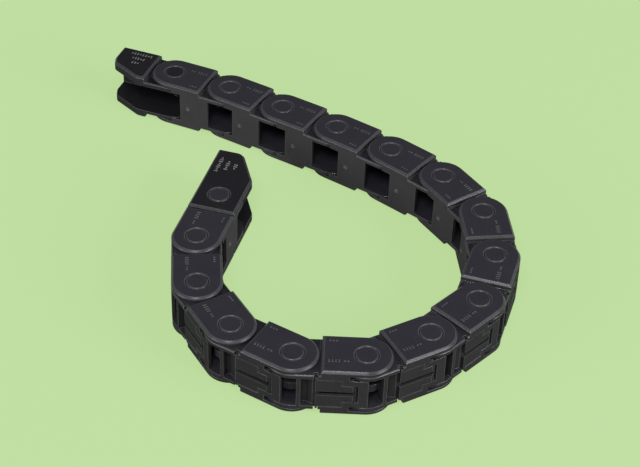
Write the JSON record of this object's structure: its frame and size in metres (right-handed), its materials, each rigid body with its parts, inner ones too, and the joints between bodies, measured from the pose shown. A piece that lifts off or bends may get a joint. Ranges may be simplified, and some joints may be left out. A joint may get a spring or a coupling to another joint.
{
  "type": "cable drag chain",
  "caption": "Small plastic cable drag chain with hinged snap lids and a screw bracket at each end, stored curled on its side.",
  "frame": {"origin": "middle of the two screw holes in the fixed bracket, on the outer face of its screw wall", "axes": "+X along the fixed bracket into the chain, +Y out of the screw wall (the outside of the bend), +Z along every pivot axis; the chain lies on its side"},
  "size_m": [0.1526, 0.1231, 0.016],
  "materials": {
    "link_plastic": "satin black moulded polyamide",
    "lid_plastic": "satin black moulded polyamide",
    "bracket_plastic": "satin black moulded polyamide"
  },
  "bodies": {
    "fixed_bracket": {"fixed_bracket": "bracket_plastic"},
    "link_1": {"link_1": "link_plastic"},
    "link_2": {"link_2": "link_plastic"},
    "link_3": {"link_3": "link_plastic"},
    "link_4": {"link_4": "link_plastic"},
    "link_5": {"link_5": "link_plastic"},
    "link_6": {"link_6": "link_plastic"},
    "link_7": {"link_7": "link_plastic"},
    "link_8": {"link_8": "link_plastic"},
    "link_9": {"link_9": "link_plastic"},
    "link_10": {"link_10": "link_plastic"},
    "link_11": {"link_11": "link_plastic"},
    "link_12": {"link_12": "link_plastic"},
    "link_13": {"link_13": "link_plastic"},
    "link_14": {"link_14": "link_plastic"},
    "link_15": {"link_15": "link_plastic"},
    "moving_bracket": {"moving_bracket": "bracket_plastic"},
    "lid_1": {"lid_1": "lid_plastic"},
    "lid_2": {"lid_2": "lid_plastic"},
    "lid_3": {"lid_3": "lid_plastic"},
    "lid_4": {"lid_4": "lid_plastic"},
    "lid_5": {"lid_5": "lid_plastic"},
    "lid_6": {"lid_6": "lid_plastic"},
    "lid_7": {"lid_7": "lid_plastic"},
    "lid_8": {"lid_8": "lid_plastic"},
    "lid_9": {"lid_9": "lid_plastic"},
    "lid_10": {"lid_10": "lid_plastic"},
    "lid_11": {"lid_11": "lid_plastic"},
    "lid_12": {"lid_12": "lid_plastic"},
    "lid_13": {"lid_13": "lid_plastic"},
    "lid_14": {"lid_14": "lid_plastic"},
    "lid_15": {"lid_15": "lid_plastic"}
  },
  "joints": [
    {"name": "pivot_1", "type": "hinge", "parent": "fixed_bracket", "child": "link_1", "pos_m": [0.0136, -0.0073, 0], "axis": [0, 0, -1], "range_deg": [-3, 27.5]},
    {"name": "pivot_2", "type": "hinge", "parent": "link_1", "child": "link_2", "pos_m": [0.03357, -0.00835, 0], "axis": [0, 0, -1], "range_deg": [-7, 23.5]},
    {"name": "pivot_3", "type": "hinge", "parent": "link_2", "child": "link_3", "pos_m": [0.05327, -0.01182, 0], "axis": [0, 0, -1], "range_deg": [-0.5, 30]},
    {"name": "pivot_4", "type": "hinge", "parent": "link_3", "child": "link_4", "pos_m": [0.07293, -0.01546, 0], "axis": [0, 0, -1], "range_deg": [-3, 27.5]},
    {"name": "pivot_5", "type": "hinge", "parent": "link_4", "child": "link_5", "pos_m": [0.09238, -0.02013, 0], "axis": [0, 0, -1], "range_deg": [-5.5, 25]},
    {"name": "pivot_6", "type": "hinge", "parent": "link_5", "child": "link_6", "pos_m": [0.11129, -0.02664, 0], "axis": [0, 0, -1], "range_deg": [-17, 13.5]},
    {"name": "pivot_7", "type": "hinge", "parent": "link_6", "child": "link_7", "pos_m": [0.12747, -0.0384, 0], "axis": [0, 0, -1], "range_deg": [-28, 2.5]},
    {"name": "pivot_8", "type": "hinge", "parent": "link_7", "child": "link_8", "pos_m": [0.13624, -0.05638, 0], "axis": [0, 0, -1], "range_deg": [-23, 7.5]},
    {"name": "pivot_9", "type": "hinge", "parent": "link_8", "child": "link_9", "pos_m": [0.13729, -0.07635, 0], "axis": [0, 0, 1], "range_deg": [-2.5, 28]},
    {"name": "pivot_10", "type": "hinge", "parent": "link_9", "child": "link_10", "pos_m": [0.12883, -0.09447, 0], "axis": [0, 0, 1], "range_deg": [-14, 16.5]},
    {"name": "pivot_11", "type": "hinge", "parent": "link_10", "child": "link_11", "pos_m": [0.11558, -0.10945, 0], "axis": [0, 0, 1], "range_deg": [-0.5, 30]},
    {"name": "pivot_12", "type": "hinge", "parent": "link_11", "child": "link_12", "pos_m": [0.09661, -0.1158, 0], "axis": [0, 0, 1], "range_deg": [-1, 29.5]},
    {"name": "pivot_13", "type": "hinge", "parent": "link_12", "child": "link_13", "pos_m": [0.07698, -0.11198, 0], "axis": [0, 0, 1], "range_deg": [-2, 28.5]},
    {"name": "pivot_14", "type": "hinge", "parent": "link_13", "child": "link_14", "pos_m": [0.06155, -0.09926, 0], "axis": [0, 0, 1], "range_deg": [-4, 26.5]},
    {"name": "pivot_15", "type": "hinge", "parent": "link_14", "child": "link_15", "pos_m": [0.05342, -0.08099, 0], "axis": [0, 0, 1], "range_deg": [-10.5, 20]},
    {"name": "pivot_16", "type": "hinge", "parent": "link_15", "child": "moving_bracket", "pos_m": [0.05202, -0.06104, 0], "axis": [0, 0, 1], "range_deg": [-4.5, 0]},
    {"name": "lid_hinge_1", "type": "hinge", "parent": "link_1", "child": "lid_1", "pos_m": [0.01664, -0.00085, 0], "axis": [0, 0, 1], "range_deg": [0, 75]},
    {"name": "lid_hinge_2", "type": "hinge", "parent": "link_2", "child": "lid_2", "pos_m": [0.03738, -0.00232, 0], "axis": [0, 0, 1], "range_deg": [0, 75]},
    {"name": "lid_hinge_3", "type": "hinge", "parent": "link_3", "child": "lid_3", "pos_m": [0.05713, -0.00582, 0], "axis": [0, 0, 1], "range_deg": [0, 75]},
    {"name": "lid_hinge_4", "type": "hinge", "parent": "link_4", "child": "lid_4", "pos_m": [0.0771, -0.00968, 0], "axis": [0, 0, 1], "range_deg": [0, 75]},
    {"name": "lid_hinge_5", "type": "hinge", "parent": "link_5", "child": "lid_5", "pos_m": [0.09708, -0.01477, 0], "axis": [0, 0, 1], "range_deg": [0, 75]},
    {"name": "lid_hinge_6", "type": "hinge", "parent": "link_6", "child": "lid_6", "pos_m": [0.11736, -0.02289, 0], "axis": [0, 0, 1], "range_deg": [0, 75]},
    {"name": "lid_hinge_7", "type": "hinge", "parent": "link_7", "child": "lid_7", "pos_m": [0.13459, -0.03793, 0], "axis": [0, 0, 1], "range_deg": [0, 75]},
    {"name": "lid_hinge_8", "type": "hinge", "parent": "link_8", "child": "lid_8", "pos_m": [0.14297, -0.05873, 0], "axis": [0, 0, 1], "range_deg": [0, 75]},
    {"name": "lid_hinge_9", "type": "hinge", "parent": "link_9", "child": "lid_9", "pos_m": [0.14213, -0.08159, 0], "axis": [0, 0, 1], "range_deg": [0, 75]},
    {"name": "lid_hinge_10", "type": "hinge", "parent": "link_10", "child": "lid_10", "pos_m": [0.13199, -0.10087, 0], "axis": [0, 0, 1], "range_deg": [0, 75]},
    {"name": "lid_hinge_11", "type": "hinge", "parent": "link_11", "child": "lid_11", "pos_m": [0.11512, -0.11657, 0], "axis": [0, 0, 1], "range_deg": [0, 75]},
    {"name": "lid_hinge_12", "type": "hinge", "parent": "link_12", "child": "lid_12", "pos_m": [0.09271, -0.12176, 0], "axis": [0, 0, 1], "range_deg": [0, 75]},
    {"name": "lid_hinge_13", "type": "hinge", "parent": "link_13", "child": "lid_13", "pos_m": [0.0707, -0.11536, 0], "axis": [0, 0, 1], "range_deg": [0, 75]},
    {"name": "lid_hinge_14", "type": "hinge", "parent": "link_14", "child": "lid_14", "pos_m": [0.05442, -0.09948, 0], "axis": [0, 0, 1], "range_deg": [0, 75]},
    {"name": "lid_hinge_15", "type": "hinge", "parent": "link_15", "child": "lid_15", "pos_m": [0.04664, -0.07876, 0], "axis": [0, 0, 1], "range_deg": [0, 75]}
  ]
}
